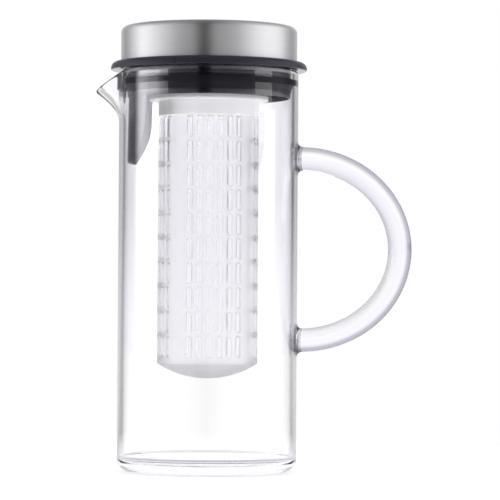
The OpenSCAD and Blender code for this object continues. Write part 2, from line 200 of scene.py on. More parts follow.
class Tree:
    """The nodes of a material or world. node() adds one: settings first, then sockets."""

    def __init__(self, owner):
        owner.use_nodes = True
        self.nodes, self.links = owner.node_tree.nodes, owner.node_tree.links
        self.nodes.clear()

    def node(self, kind, settings=None, sockets=None, output=0):
        new = self.nodes.new(kind)
        for name, value in (settings or {}).items():
            if name == "stops":
                ramp = new.color_ramp
                ramp.interpolation = "EASE"
                for k, (place, level) in enumerate(value):
                    stop = ramp.elements[k] if k < 2 else ramp.elements.new(place)
                    stop.position, stop.color = place, (level, level, level, 1)
            else:
                setattr(new, name, value)
        for key, value in (sockets or {}).items():
            if isinstance(value, Sig):
                self.links.new(value.socket, new.inputs[key])
            else:
                new.inputs[key].default_value = value
        return Sig(self, new.outputs[output]) if new.outputs else new

    def split(self, spot):
        """The x, y and z of a vector."""
        return [self.node("ShaderNodeSeparateXYZ", {}, {0: spot}, k) for k in range(3)]

    def at(self):
        """The x, y and z of the place on the object."""
        return self.split(self.node("ShaderNodeTexCoord", output="Object"))

    def place(self, stretch=(1, 1, 1)):
        """Object coordinates, stretched by a Mapping node."""
        spot = self.node("ShaderNodeTexCoord", output="Object")
        return self.node("ShaderNodeMapping", {}, {"Vector": spot, "Scale": stretch})

    def grain(self, stretch, scale, detail=3):
        """Noise from 0 to 1 at a scale in bumps per metre."""
        spot = self.place(stretch)
        return self.node("ShaderNodeTexNoise", {}, {"Vector": spot, "Scale": scale, "Detail": detail})

    def blend(self, share, low, high):
        """A colour between low and high."""
        return self.node("ShaderNodeMix", {"data_type": "RGBA"}, {0: share, 6: (*low, 1), 7: (*high, 1)}, 2)

    def bump(self, height, distance, strength=1):
        """The normal of a surface that rises by distance metres where height is 1."""
        return self.node("ShaderNodeBump", {}, {"Strength": strength, "Distance": distance, "Height": height})


def finish(name, sockets):
    """A material on one Principled shader. sockets is a function of its tree."""
    material = bpy.data.materials.new(name)
    tree = Tree(material)
    shader = tree.node("ShaderNodeBsdfPrincipled", {}, sockets(tree))
    tree.node("ShaderNodeOutputMaterial", {}, {"Surface": shader})
    return material


def clear_glass(name, ior, absorbed, density, edge, edge_shade, whole=lambda tree: 1.0):
    """Clear glass: slow waves of a tenth of a degree in its skin, a grey tint through its depth, and
    painted shade at its edges, a cooler, darker colour where the skin turns away. A given function
    gives the share of that painted edge colour, and whole the share of the light that the skin bends."""
    def sockets(tree):
        wave = tree.grain((1, 1, 0.4), 38, 1)
        facing = tree.node("ShaderNodeLayerWeight", {}, {"Blend": 0.5}, "Facing")
        skin_tone = tree.blend(wave, (0.985, 0.985, 0.99), (0.995, 0.995, 1.0))
        # Painted shade: the edge colour is mixed into the glass's colour by the given share.
        share = edge_shade(tree, facing).clipped()
        tone = tree.node("ShaderNodeMix", {"data_type": "RGBA"}, {0: share, 6: skin_tone, 7: (*edge, 1)}, 2)
        return {
            "Base Color": tone,
            "Roughness": 0.0, "IOR": ior, "Transmission Weight": 1.0, "Alpha": whole(tree),
            "Normal": tree.bump(wave, 0.00003),
        }
    material = finish(name, sockets)
    nodes, links = material.node_tree.nodes, material.node_tree.links
    depth = nodes.new("ShaderNodeVolumeAbsorption")
    depth.inputs["Color"].default_value = (*absorbed, 1)
    depth.inputs["Density"].default_value = density
    output = next(n for n in nodes if n.type == "OUTPUT_MATERIAL")
    links.new(depth.outputs[0], output.inputs["Volume"])
    return material


def place(piece, material, body, slot, *nodes):
    """Gives a piece its material and its body, and hides the nodes that it stands for. slot is not used."""
    piece.data.materials.append(material)
    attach(piece, body)
    if nodes:
        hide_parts(*nodes)
    return piece


def rim_painted_shade(tree, facing):
    """Painted shade: only the very edges are darkened, by a high power of the share by which the skin
    turns away. The drawn glass gets a wider painted dark edge, and the spout's lip a painted dark
    line along each side."""
    x, y, z = tree.at()
    drawn = ((x * -1 - (body_r + drawn_shade_start) * mm) / (drawn_shade_start * mm)).clipped()
    # lip is the mask of the painted dark line along the spout's lip, and drawn that of the drawn glass.
    lip = tree.node("ShaderNodeAttribute", {"attribute_name": "lip"}, output="Fac")
    dark_from = lambda start: ((facing - start) / shade_fade).clipped()
    wide_shade = drawn * dark_from(drawn_shade_from) + lip * dark_from(lip_shade_from)
    return facing ** shade_power * (1 - drawn) + wide_shade


def foot_whole(tree):
    """The flat middle of the foot lets most light straight through, so that no light is caught
    between its two faces. Its round edge bends the light in full."""
    x, y, z = tree.at()
    beyond = ((x * x + y * y) ** 0.5 - foot_clear_r * mm) / (foot_fade * mm)
    return foot_clear + (1 - foot_clear) * beyond.clipped()


def lip_shade_share():
    """How much each point of the jug takes the painted dark line along the spout's lip: one within
    half a wall of the rim's middle line, none a wall away, and fading out where the draw of the
    spout ends."""
    places = np.empty(len(jug.data.vertices) * 3)
    jug.data.vertices.foreach_get("co", places)
    x, y, z = places.reshape(-1, 3).T / mm
    share = pull(np.arctan2(y, -x))
    away = np.hypot(np.hypot(x, y) - bore_r - wall_t / 2 - spout_reach * share,
                    z - rim_h + wall_t / 2 + spout_drop * share)
    return np.clip(2 - away / (wall_t / 2), 0, 1) * np.clip(share * lip_shade_fade, 0, 1)


def painted(piece, material, inside):
    """Gives the faces whose middle's height satisfies inside a second material."""
    piece.data.materials.append(material)
    centres = np.empty(len(piece.data.polygons) * 3)
    piece.data.polygons.foreach_get("center", centres)
    piece.data.polygons.foreach_set("material_index", inside(centres[2::3] / mm).astype(np.int32))


# The last colour given to each glass is the colour of its painted edge shade.
jug_glass = clear_glass("jug_glass", 1.47, (0.55, 0.55, 0.62), 3, (0.15, 0.14, 0.20), rim_painted_shade)
foot_glass = clear_glass("foot_glass", 1.08, (0.55, 0.55, 0.62), 1, (0.58, 0.57, 0.63), rim_painted_shade, foot_whole)
jug = build("jug_wall", skin(jug_points()), sharp=pi)
# The lip attribute carries the mask of the painted dark line along the spout's lip.
jug.data.attributes.new("lip", "FLOAT", "POINT").data.foreach_set("value", lip_shade_share())
place(jug, jug_glass, "jug", "glass", "glass_body")
painted(jug, foot_glass, lambda z: z < floor_t + inner_bend_r)

# The handle. A solid glass rod, bent hot over half an ellipse and flame welded to the wall at
# both ends, where the glass has run out into a hollow fillet round the rod.
rod_r, weld_r, arm_l = 6.6, 3.0, 1.9
handle_mid, handle_rise, handle_out = 124.1, 50.7, 57.3
weld_gap, weld_fade, bend_start = 0.03, 5.0, 6
# Where the painted shade along the rod's outer side lies, how it blends, where it starts and how it fades.
rod_shade_offset, rod_shade_blend, rod_shade_from, rod_shade_fade, rod_soft_shade = 0.1, 2.5, 0.07, 0.2, 0.8


def handle_points():
    """A circle carried along the centre line. Its radius is the rod's, plus a quarter round hollow
    over the last weld_r before the wall, and its foot is pulled back on to the wall's curve. The
    rings stand closer where the bend starts."""
    reach = handle_out - arm_l
    near = np.linspace(0, arm_l, 9)[:-1]
    bend = 90 - bend_start
    turn = np.concatenate([90 - bend_start * np.linspace(0, 1, 10)[:-1], np.linspace(bend, -bend, 150)])
    turn = np.radians(np.concatenate([turn, -90 + bend_start * np.linspace(1, 0, 10)[1:]]))
    x = np.concatenate([near, arm_l + reach * np.cos(turn), near[::-1]])
    z = np.concatenate([0 * near + handle_rise, handle_rise * np.sin(turn), 0 * near - handle_rise])
    tangent_x = np.concatenate([0 * near + 1, reach * np.sin(turn), 0 * near - 1])
    tangent_z = np.concatenate([0 * near, -handle_rise * np.cos(turn), 0 * near])
    length = np.hypot(tangent_x, tangent_z)
    normal_x, normal_z = -tangent_z / length, tangent_x / length
    hollow = np.clip(1 - x / weld_r, 0, 1)
    radius = rod_r + weld_r * (1 - np.sqrt(1 - hollow ** 2))
    share = np.concatenate([[0, 0.35, 0.7], np.ones(len(x)), [0.7, 0.35, 0]])
    pad = lambda values: np.concatenate([values[:1]] * 3 + [values] + [values[-1:]] * 3)[:, None]
    a = np.linspace(0, 2 * pi, 56, endpoint=False)[None, :]
    ring = pad(radius) * share[:, None]
    y = ring * np.sin(a)
    out = pad(x) + pad(normal_x) * ring * np.cos(a)
    foot = body_r - np.sqrt(body_r ** 2 - y ** 2)
    out = out + weld_gap - foot * np.exp(-(pad(x) / weld_fade) ** 2)
    return np.stack([body_r + out, y, handle_mid + pad(z) + pad(normal_z) * ring * np.cos(a)], -1)


def rod_painted_shade(tree, facing):
    """Painted shade on the rod: darker along its outer side, in a clear band, fading slowly towards
    its inner side. How far out a point lies is its place against the half ellipse of the centre line."""
    x, y, z = tree.at()
    x = (x - (body_r + arm_l) * mm) / ((handle_out - arm_l) * mm)
    z = (z - handle_mid * mm) / (handle_rise * mm)
    out = ((x * x + z * z) ** 0.5 - 1) * ((handle_out + handle_rise) / 2 / rod_r)
    # outer is the mask of the painted dark band along the rod's outer side.
    outer = ((out + rod_shade_offset) * rod_shade_blend).clipped()
    return outer * ((facing - rod_shade_from) / rod_shade_fade).clipped() + (1 - outer) * facing ** 0.5 * rod_soft_shade


# The last colour is that of the rod's painted shade.
rod_glass = clear_glass("rod_glass", 1.47, (0.50, 0.50, 0.58), 3, (0.36, 0.345, 0.41), rod_painted_shade)
handle = build("rod_handle", skin(handle_points()), sharp=radians(60))
place(handle, rod_glass, "jug", "glass", "glass_handle")

# The cap. Stainless sheet, deep drawn with a small corner radius and a slightly crowned top, and
# brushed round its axis. It is pressed on to a moulded insert.
cap_r, cap_t, cap_corner_r, cap_crown, cap_seat = 49.2, 0.7, 3.5, 0.8, 0.05
fine_round, fine_run, broad_round, broad_run = 30, 5200, 9, 700
flange_z, flange_top_z, cap_corner_z = 223.5, 228.1, 244.5
around = np.linspace(0, 2 * pi, 256, endpoint=False)


def cap_line(r, corner_r):
    """Half of the cap's outline from the middle of its top to its foot: a crown that falls with the
    square of the radius, a quarter round corner and the straight side."""
    flat_r = cap_r - cap_corner_r
    top = line([0, 0], [flat_r, 0], 14)
    top[:, 1] = cap_corner_z + corner_r + cap_crown * (1 - (top[:, 0] / flat_r) ** 2)
    corner = arc([flat_r, cap_corner_z], corner_r, 90, 0, 12)
    return np.concatenate([top[:-1], corner[:-1], line([r, cap_corner_z], [r, flange_top_z + cap_seat], 10)])


def brushed(tree):
    """Fine lines round the axis: noise that changes fast up the side and along the radius of the
    top, and slowly round the cap. It shades the colour and the roughness and cuts the surface."""
    x, y, z = tree.at()
    run = (x * x + y * y) ** 0.5 + z
    lines = tree.node("ShaderNodeCombineXYZ", {}, {0: x * fine_round, 1: y * fine_round, 2: run * fine_run})
    fine = tree.node("ShaderNodeTexNoise", {}, {"Vector": lines, "Scale": 1.0, "Detail": 3})
    broad_spot = {0: x * broad_round, 1: y * broad_round, 2: run * broad_run}
    broad = tree.node("ShaderNodeCombineXYZ", {}, broad_spot)
    broad = tree.node("ShaderNodeTexNoise", {}, {"Vector": broad, "Scale": 1.0, "Detail": 2})
    return {
        "Base Color": tree.blend(fine * 0.6 + broad * 0.4, (0.60, 0.595, 0.59), (0.74, 0.735, 0.73)),
        "Metallic": 1.0, "Roughness": 0.30 + 0.10 * fine + 0.06 * broad,
        "Anisotropic": 0.8, "Anisotropic Rotation": 0.25,
        "Normal": tree.bump(fine, 0.00001, 0.6),
    }


brushed_cap = finish("brushed_cap", brushed)
cap_inside = cap_line(cap_r - cap_t, cap_corner_r - cap_t)[::-1]
cap_skin = np.concatenate([cap_line(cap_r, cap_corner_r), cap_inside])
cap = build("steel_cap", skin(turned(cap_skin, around)), sharp=radians(50))
place(cap, brushed_cap, "lid", "brushed_cap", "lid_cap")

# The insert. A black moulding inside the cap that gives it its shape and takes the screws. It is
# hidden in the closed lid, and keeps its plain solid.
streak_size = 45


def moulded(dark, light, rough, grain_size, depth, shine=0.5):
    """Moulded plastic: a fine spark-eroded grain in the surface and slight streaks in the colour."""
    def sockets(tree):
        grain = tree.grain((1, 1, 1), grain_size, 2)
        streak = tree.grain((1, 1, 0.3), streak_size, 2)
        return {
            "Base Color": tree.blend(streak, dark, light),
            "Roughness": rough + 0.12 * (grain - 0.5) + 0.08 * (streak - 0.5),
            "Specular IOR Level": shine,
            "Normal": tree.bump(grain, depth),
        }
    return sockets


black_plastic = moulded((0.012, 0.012, 0.013), (0.02, 0.02, 0.021), 0.5, 900, 0.00004)
insert_plastic = finish("insert_plastic", black_plastic)
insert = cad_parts["cap_insert"]
insert.data.materials.clear()
insert.data.materials.append(insert_plastic)

# The flange. A satin black ring with a full round upper edge, clamped between cap and plug. It
# rests over the rim of the glass, and a fine index groove crosses its edge.
flange_r, flange_hole_r = 54.75, 44.8
flange_low_r, flange_top_r = 0.8, 3.4
index_angle, index_w, index_depth = radians(251), 0.6, 0.5
index_shares, index_power, edge_curve = (-1.6, -1.05, -0.95, 0.95, 1.05, 1.6), 8, 0.4
polish_from, polish_fade, polish_loss = 0.3, 0.2, 0.8


def grooved(section, edge):
    """A section carried round the axis, with the index groove. Six columns stand close together
    there, where each point steps in by the groove's depth times its share of the edge."""
    half = index_w / 2 / flange_r
    step = np.array(index_shares) * half
    rest = np.linspace(index_angle + 3 * half, index_angle + 2 * pi - 3 * half, 250)
    angles = np.concatenate([index_angle + step, rest])
    groove = np.exp(-((angles - index_angle) / half) ** index_power)[None, :, None] * index_depth
    outward = np.stack([np.cos(angles), np.sin(angles), 0 * angles], -1)
    return turned(section, angles) - groove * edge[:, None, None] * outward


flange_line = np.concatenate([
    line([flange_hole_r, flange_top_z], [flange_hole_r, flange_z], 1),
    [[body_r, flange_z]],
    arc([flange_r - flange_low_r, flange_z + flange_low_r], flange_low_r, -90, 0, 6),
    arc([flange_r - flange_top_r, flange_top_z - flange_top_r], flange_top_r, 0, 90, 18),
    [[cap_r, flange_top_z]],
])
flange_edge = np.clip((flange_line[:, 0] - (flange_r - flange_top_r)) / flange_top_r, 0, 1) ** edge_curve


def satin(tree):
    """Satin black moulding, polished on its underside, where it seals on the glass."""
    sockets = moulded((0.010, 0.0098, 0.018), (0.016, 0.0158, 0.028), 0.36, 1400, 0.00002, 0.32)(tree)
    x, y, height = tree.at()
    under = (((flange_z + polish_from) * mm - height) / (polish_fade * mm)).clipped()
    sockets["Roughness"] = sockets["Roughness"] * (1 - under * polish_loss)
    return sockets


satin_black = finish("satin_black", satin)
flange = build("flange", skin(grooved(flange_line, flange_edge), along=True))
place(flange, satin_black, "lid", "satin_black", "flange_ring")

# The plug. One smooth black moulding: a skirt that stands inside the glass, a deck, a spigot for
# the flange, the socket that the infuser screws into, and ribs from the socket to the skirt.
skirt_r, skirt_in_r, groove_r, spigot_r, spigot_t = 45.8, 44.8, 45.4, 44.7, 1.0
plug_z, deck_z, seal_z, seal_top_z = 207.9, 220.5, 210.8, 219.2
socket_r, socket_out_r, socket_z = 30.3, 33.3, 209.0
draft, neck_draft = 0.2, 0.05
rib_angles = (30, 60, 90, 270, 300, 330)
rib_t, rib_h, rib_round, rib_sunk, into_deck = 1.2, 6.0, 0.4, 0.4, 1


def rounded(corners, steps=4):
    """A closed outline through corners given as radius, height and rounding. Each corner is a
    quadratic curve that starts and ends at the rounding's distance from it."""
    corners = np.array(corners, float)
    here, size = corners[:, None, :2], corners[:, None, 2:]
    back, ahead = np.roll(here, 1, 0) - here, np.roll(here, -1, 0) - here
    start = here + back / np.linalg.norm(back, axis=2, keepdims=True) * size
    end = here + ahead / np.linalg.norm(ahead, axis=2, keepdims=True) * size
    t = np.linspace(0, 1, steps + 1)[None, :, None]
    return (start * (1 - t) ** 2 + 2 * here * t * (1 - t) + end * t ** 2).reshape(-1, 2)


def ring(corners, steps=4):
    """The closed skin of a ring with that outline."""
    return skin(turned(rounded(corners, steps), around), along=True)


def rib(angle):
    """A rounded bar from the socket to the skirt: a rectangle with round lower corners, carried
    out along the radius."""
    a = radians(angle)
    half, low, top = rib_t / 2, deck_z - rib_h, deck_z + into_deck
    corners = [(-half, top, 0.01), (-half, low, rib_round), (half, low, rib_round), (half, top, 0.01)]
    section = rounded(corners, 3)
    out = np.repeat([socket_out_r - rib_sunk, skirt_in_r + rib_sunk], 2)[:, None]
    open_share = np.array([0, 1, 1, 0])[:, None]
    width = section[None, :, 0] * open_share
    middle = (low + top) / 2
    height = middle + (section[None, :, 1] - middle) * open_share
    return skin(np.stack([out * cos(a) - width * sin(a), out * sin(a) + width * cos(a), height], -1))


plug_line = rounded([
    (0, deck_z, 0), (skirt_in_r, deck_z, 0.6), (skirt_in_r, plug_z, 0.2), (skirt_r - draft, plug_z, 0.4),
    (skirt_r, seal_z, 0.15), (groove_r, seal_z, 0.1), (groove_r, seal_top_z, 0.1),
    (skirt_r, seal_top_z, 0.15), (skirt_r - neck_draft, flange_z, 0.2), (spigot_r, flange_z, 0.05),
    (spigot_r, flange_top_z, 0.2), (spigot_r - spigot_t, flange_top_z, 0.2),
    (spigot_r - spigot_t, flange_z, 0.1), (0, flange_z, 0),
])
collar_edge = (plug_line[:, 0] > skirt_r - draft - 0.05) & (plug_line[:, 1] > seal_top_z - 0.01)
stopper = skin(grooved(plug_line, 1.0 * collar_edge))
socket = ring([
    (socket_r, socket_z, 0.4), (socket_out_r, socket_z, 0.4),
    (socket_out_r, deck_z + into_deck, 0.1), (socket_r, deck_z + into_deck, 0.1),
])
smooth_plastic = moulded((0.007, 0.007, 0.014), (0.012, 0.012, 0.022), 0.14, 700, 0.000006, 0.9)
gloss_black = finish("gloss_black", smooth_plastic)
plug = build("plug_moulding", stopper, socket, *[rib(a) for a in rib_angles])
place(plug, gloss_black, "lid", "gloss_black", "lid_plug")

# The seal. A black silicone ring in the skirt's groove. Its fin is bent against the glass, which
# looks black wherever the silicone touches it, and stands out free where the spout leaves it room.
fin_low_z, fin_top_z = 214.9, 217.9
fin_touch, fin_free, fin_grow, fin_climb = 0.12, 3.4, 2.5, 1.0
fin_root_low, fin_root_top, seal_fit = 2.6, 0.6, 0.05
seal_r = skirt_r + 0.1


def seal_points(section):
    """The section carried round the axis. At the spout the fin swells out by the lean of the glass
    there, softly limited to the fin's free reach, and its height grows with it."""
    angle = spout_columns(320)
    drawn = pull(angle)
    t = ((fin_low_z - neck_z) / (spout_h - spout_drop * drawn)).clip(0, 1)
    lean = spout_reach * drawn * t ** spout_curve
    free = lean / (lean + fin_free)
    r, z = section[:, :1], section[:, 1:]
    share = np.clip((r - seal_r) / (bore_r + fin_touch - seal_r), 0, 1)
    z = z + share * free * ((z - (fin_low_z + fin_top_z) / 2) * fin_grow + fin_climb)
    r = r + share * free * fin_free
    return np.stack([r * np.cos(angle + pi), r * np.sin(angle + pi), z], -1)


silicone = moulded((0.006, 0.006, 0.012), (0.010, 0.010, 0.018), 0.42, 1100, 0.00001, 0.12)
black_silicone = finish("black_silicone", silicone)
seal_line = rounded([
    (groove_r + seal_fit, seal_z + seal_fit, 0.1), (seal_r, seal_z + seal_fit, 0.2),
    (seal_r + 0.1, fin_low_z - fin_root_low, 0.3), (bore_r + fin_touch, fin_low_z, 0.2),
    (bore_r + fin_touch, fin_top_z, 0.2), (seal_r, fin_top_z + fin_root_top, 0.1),
    (seal_r, seal_top_z - seal_fit, 0.1), (groove_r + seal_fit, seal_top_z - seal_fit, 0.1),
])
seal = build("seal_lip", skin(seal_points(seal_line), along=True))
place(seal, black_silicone, "seal", "black_silicone", "seal_ring")

# The pour guard. A thin tongue of the same smooth black moulding as the plug, curved with the
# glass and riveted inside the skirt, that holds solid things back from the spout.
guard_r, guard_z, guard_top_z = 44.75, 171.5, 220.4
guard_w, guard_corner_r, guard_cut, guard_t, guard_flare = 59.0, 27.0, 3.5, 0.7, 0.6


def guard_points():
    """The outline's half width at each height, laid round the axis: the angle is the arcsine of
    the sideways place over the radius. The corner is a circle from the cut of the flat lower edge
    to the straight side. The radius grows by the flare from the plug's foot down."""
    corner_z = guard_z - guard_cut + guard_corner_r
    turn = np.linspace(np.arccos(1 - guard_cut / guard_corner_r), pi / 2, 24)
    z = np.concatenate([corner_z - guard_corner_r * np.cos(turn), np.linspace(corner_z, guard_top_z, 14)[1:]])
    half = np.concatenate([guard_w / 2 - guard_corner_r * (1 - np.sin(turn)), np.full(13, guard_w / 2)])
    flare = guard_flare * np.clip((plug_z - z) / (plug_z - guard_z), 0, 1)
    r = (guard_r + flare)[:, None]
    x = half[:, None] * np.linspace(-1, 1, 61)[None, :]
    layer = lambda r: np.stack([-np.sqrt(r ** 2 - x ** 2), x, z[:, None] + 0 * x], -1)
    outer, inner = layer(r), layer(r - guard_t)
    loop = np.concatenate([outer, inner[:, ::-1]], 1)
    cap_row = lambda row: np.concatenate([outer[row], outer[row][::-1]])[None]
    return np.concatenate([cap_row(0), loop, cap_row(-1)])


guard = build("guard_tongue", skin(guard_points()), sharp=radians(50))
place(guard, gloss_black, "lid", "gloss_black", "pour_guard")

# The rivets. Two stainless rivets through the guard, with low domed heads on its inner side.
rivet_r, rivet_head_r, rivet_z, rivet_tip = 1.4, 2.6, 214.2, 45.2
rivet_dome, rivet_fit = 1.0, 0.02
rivet_head = guard_r - guard_t


def rivet(angle):
    """A dome, a shank and its end, turned about the radius at that angle."""
    dome = arc([0, 0], 1, 90, 0, 8) * [rivet_head_r, rivet_dome]
    shank = [rivet_head, rivet_head, rivet_tip, rivet_tip]
    along = np.concatenate([rivet_head - rivet_fit - dome[:, 1], shank])
    radius = np.concatenate([dome[:, 0], [rivet_head_r, rivet_r, rivet_r, 0]])
    turn = np.linspace(0, 2 * pi, 32, endpoint=False)[None, :]
    side, up = radius[:, None] * np.cos(turn), rivet_z + radius[:, None] * np.sin(turn)
    a, out = radians(angle), along[:, None]
    return skin(np.stack([out * cos(a) - side * sin(a), out * sin(a) + side * cos(a), up], -1))


def plain_steel(tree):
    """Plain tumbled stainless: a soft unevenness in colour and shine."""
    cloud = tree.grain((1, 1, 1), 400, 3)
    return {
        "Base Color": tree.blend(cloud, (0.50, 0.50, 0.51), (0.64, 0.64, 0.65)),
        "Metallic": 1.0, "Roughness": 0.26 + 0.14 * cloud,
    }


screw_steel = finish("screw_steel", plain_steel)
rivets = build("guard_studs", rivet(155), rivet(205))
place(rivets, screw_steel, "lid", "screw_steel", "guard_rivets")

# The screws. Three self-tapping screws with flat pan heads and a cross recess, driven up through
# the deck into the insert's bosses.
screw_ring_r, screw_r, head_r, head_h, screw_l = 39.05, 1.5, 2.8, 2.0, 13.0
head_round, tip_h, tip_in = 0.5, 1, 0.6
cross_depth, cross_w, cross_reach = 1.1, 0.4, 1.9


def screw(angle):
    """A head and a shank turned about an upright line. The head's face sinks by a cross: deep
    where the nearer of the two slot lines is close, and less towards the rim."""
    face = np.linspace(0, head_r - head_round, 12)
    edge = arc([head_r - head_round, -head_h + head_round], head_round, -90, 0, 5)
    shank_r = [head_r, screw_r, screw_r, screw_r - tip_in, 0]
    shank_z = [0, 0, screw_l - tip_h, screw_l, screw_l]
    r = np.concatenate([face[:-1], edge[:, 0], shank_r])[:, None]
    z = np.concatenate([0 * face[:-1] - head_h, edge[:, 1], shank_z])[:, None]
    turn = np.linspace(0, 2 * pi, 48, endpoint=False)[None, :]
    x, y = r * np.cos(turn), r * np.sin(turn)
    slot = np.minimum(np.abs(x), np.abs(y))
    sink = cross_depth * np.exp(-(slot / cross_w) ** 6) * np.clip(1 - (r / cross_reach) ** 4, 0, 1)
    depth = np.where(np.arange(len(r))[:, None] < len(face) - 1, sink, 0)
    a = radians(angle)
    x = x + screw_ring_r
    return skin(np.stack([x * cos(a) - y * sin(a), x * sin(a) + y * cos(a), deck_z + z + depth], -1))


screws = build("deck_screws", screw(0), screw(120), screw(240), sharp=radians(30))
place(screws, screw_steel, "lid", "screw_steel", "lid_screws")

# The gasket. A flat washer of clear silicone between the infuser's collar and the socket.
gasket_z, gasket_t, gasket_in, gasket_fit, gasket_round = 207.9, 1.0, 0.1, 0.02, 0.25


def silicone_clear(tree):
    """Milky clear silicone with a dull skin."""
    grain = tree.grain((1, 1, 1), 800, 2)
    return {
        "Base Color": tree.blend(grain, (0.80, 0.81, 0.82), (0.88, 0.89, 0.90)),
        "Roughness": 0.42 + 0.1 * grain, "Transmission Weight": 0.1, "IOR": 1.41,
        "Normal": tree.bump(grain, 0.00001),
    }


clear_silicone = finish("clear_silicone", silicone_clear)
gasket_r = socket_out_r - gasket_in
gasket_low, gasket_top = gasket_z + gasket_fit, gasket_z + gasket_t - gasket_fit
gasket = build("flat_gasket", ring([
    (socket_r, gasket_low, gasket_round), (gasket_r, gasket_low, gasket_round),
    (gasket_r, gasket_top, gasket_round), (socket_r, gasket_top, gasket_round),
], 3))
place(gasket, clear_silicone, "gasket", "clear_silicone", "infuser_gasket")

# The infuser. A tube of frosted clear plastic with a shallow bowl at its foot, a collar and a
# screw neck. Four groups of six columns of slots go round it and down to its foot.
tube_r, tube_in_r, tube_end_z, bowl_h = 28.0, 26.0, 60.2, 8.4
collar_r, collar_t, collar_under, neck_r, neck_h = 33.3, 1.3, 2.1, 30.0, 9.0
slot_w, slot_h, slot_pitch, slot_start = 3.3, 11.8, 13.5, 10.8
slot_rows, slots_in_group, slot_angle, group_angle = 10, 6, 12, 278
slot_edge, root_round, collar_round, neck_foot_round, neck_round = 0.25, 0.6, 0.3, 0.2, 0.5
frost_from = plug_z - slot_start + slot_pitch / 2 - slot_h / 2 - 0.1
# The painted glow of the thick plastic: its strength on the inner face and on the turned-away outer face, the
# reach and step of the inner face's mask, and its fade below the lid.
painted_glow_in, painted_glow_side, painted_glow_reach, painted_glow_step, painted_glow_fade = 0.45, 0.16, 0.5, 0.3, 2.0


def slot_cell():
    """One cell of the slotted wall as rings of points: degrees across, height and depth below the
    outer face. They run from the cell's edge in to the slot's rounded edge, through the wall, and
    back out to the cell's edge on the inner face. A ring is one half and its opposite: up the
    right side and along the top. On the slot, a point lies at an angle on an end's half circle."""
    w, h, straight = slot_angle / 2, slot_pitch / 2, slot_h / 2 - slot_w / 2
    end = np.linspace(straight, h, 4)
    side = np.concatenate([-end[::-1], np.linspace(-straight, straight, 5)[1:-1], end])[:-1]
    across = np.stack([np.linspace(w, -w, 9), np.full(9, h)], -1)
    edge = np.concatenate([np.stack([w + 0 * side, side], -1), across[:-1]])
    turn = np.radians(np.concatenate([[-30, -20, -10], np.zeros(5), [10, 20], np.linspace(30, 150, 9)[:-1]]))
    centre = straight * np.concatenate([[-1, -1, -1, -1, -0.5, 0, 0.5], np.ones(11)])
    ring_at = lambda r: np.stack([np.degrees(r * np.cos(turn) / tube_r), centre + r * np.sin(turn)], -1)
    inner, outer = ring_at(slot_w / 2), ring_at(slot_w / 2 + slot_edge)
    wall = tube_r - tube_in_r
    layers = [(edge, 0), ((edge + outer) / 2, 0), (outer, 0), (inner, slot_edge), (inner, wall - slot_edge),
              (outer, wall), ((edge + outer) / 2, wall), (edge, wall)]
    return np.stack([np.column_stack([np.concatenate([p, -p]), np.full(2 * len(p), d)]) for p, d in layers])


def bowl(r, depth, steps=20):
    """The rounded end from its middle to its edge: an arc of a circle that drops by depth."""
    ball = (r * r + depth * depth) / (2 * depth)
    x = np.linspace(0, r, steps + 1)
    return np.stack([x, tube_end_z - depth + ball - np.sqrt(ball ** 2 - x ** 2)], -1)


def infuser_skin():
    """Cells side by side and row by row, plain strips between the four groups, and the turned
    ends above and below, all with the same points along the edges that they share."""
    cell = slot_cell()
    first_z = plug_z - slot_start - slot_h / 2
    rows = first_z - slot_pitch * np.arange(slot_rows)
    in_group = slot_angle * (np.arange(slots_in_group) - (slots_in_group - 1) / 2)
    columns = group_angle + 90 * np.arange(4)[:, None] + in_group
    one = skin(cell)
    places = np.stack(np.meshgrid(columns.ravel(), rows, [0.0], indexing="ij"), -1).reshape(-1, 1, 3)
    points = (one[0][None] + places).reshape(-1, 3)
    quads = (one[1][None] + len(one[0]) * np.arange(len(places))[:, None, None]).reshape(-1, 4)
    half = slot_angle * slots_in_group / 2
    heights = np.unique(np.round((rows[:, None] + np.append(cell[0, :10, 1], slot_pitch / 2)).ravel(), 6))
    strip = np.linspace(half, 90 - half, 9)
    strips = []
    for k in range(4):
        for depth, up in ((0, heights), (tube_r - tube_in_r, heights[::-1])):
            across, height = np.meshgrid(group_angle + 90 * k + strip, up)
            strips.append(skin(np.stack([across, height, depth + 0 * height], -1), around=False))
    flat, faces = joined((points, quads), *strips)
    a, r = np.radians(flat[:, 0]), tube_r - flat[:, 2]
    wall = (np.stack([r * np.cos(a), r * np.sin(a), flat[:, 1]], -1), faces)
    round_one = np.concatenate([np.linspace(-half, half, 49)[:-1], strip[:-1]])
    turn = np.radians((group_angle + 90 * np.arange(4)[:, None] + round_one).ravel())
    top_z, foot_z = heights[-1], heights[0]
    neck_top = plug_z + neck_h
    head = np.concatenate([
        line([tube_r, top_z], [tube_r, plug_z - collar_under - root_round], 4),
        rounded([
            (tube_r, plug_z - collar_under, root_round), (collar_r, plug_z - collar_t, collar_round),
            (collar_r, plug_z, collar_round), (neck_r, plug_z, neck_foot_round),
            (neck_r, neck_top, neck_round), (tube_in_r, neck_top, neck_round),
        ])[:24],
        line([tube_in_r, neck_top - root_round], [tube_in_r, top_z], 8),
    ])
    foot = np.concatenate([bowl(tube_r, bowl_h), line([tube_r, tube_end_z], [tube_r, foot_z], 3)[1:]])
    inside = np.concatenate([line([tube_in_r, foot_z], [tube_in_r, tube_end_z], 3)[:-1],
                             bowl(tube_in_r, bowl_h - (tube_r - tube_in_r))[::-1]])
    return joined(wall, skin(turned(head, turn)), skin(turned(foot, turn)), skin(turned(inside, turn)))


def tumbled(tree):
    """The skin of the clear plastic: a fine tumbled grain, and faint flow marks down the tube."""
    grain = tree.grain((1, 1, 1), 1500, 2)
    flow = tree.grain((1, 1, 0.12), 120, 2)
    return {
        "Base Color": tree.blend(flow, (0.90, 0.90, 0.915), (0.95, 0.95, 0.96)),
        "Roughness": 0.26 + 0.10 * grain + 0.08 * flow, "Specular IOR Level": 0.3,
        "Normal": tree.bump(grain, 0.000006),
    }


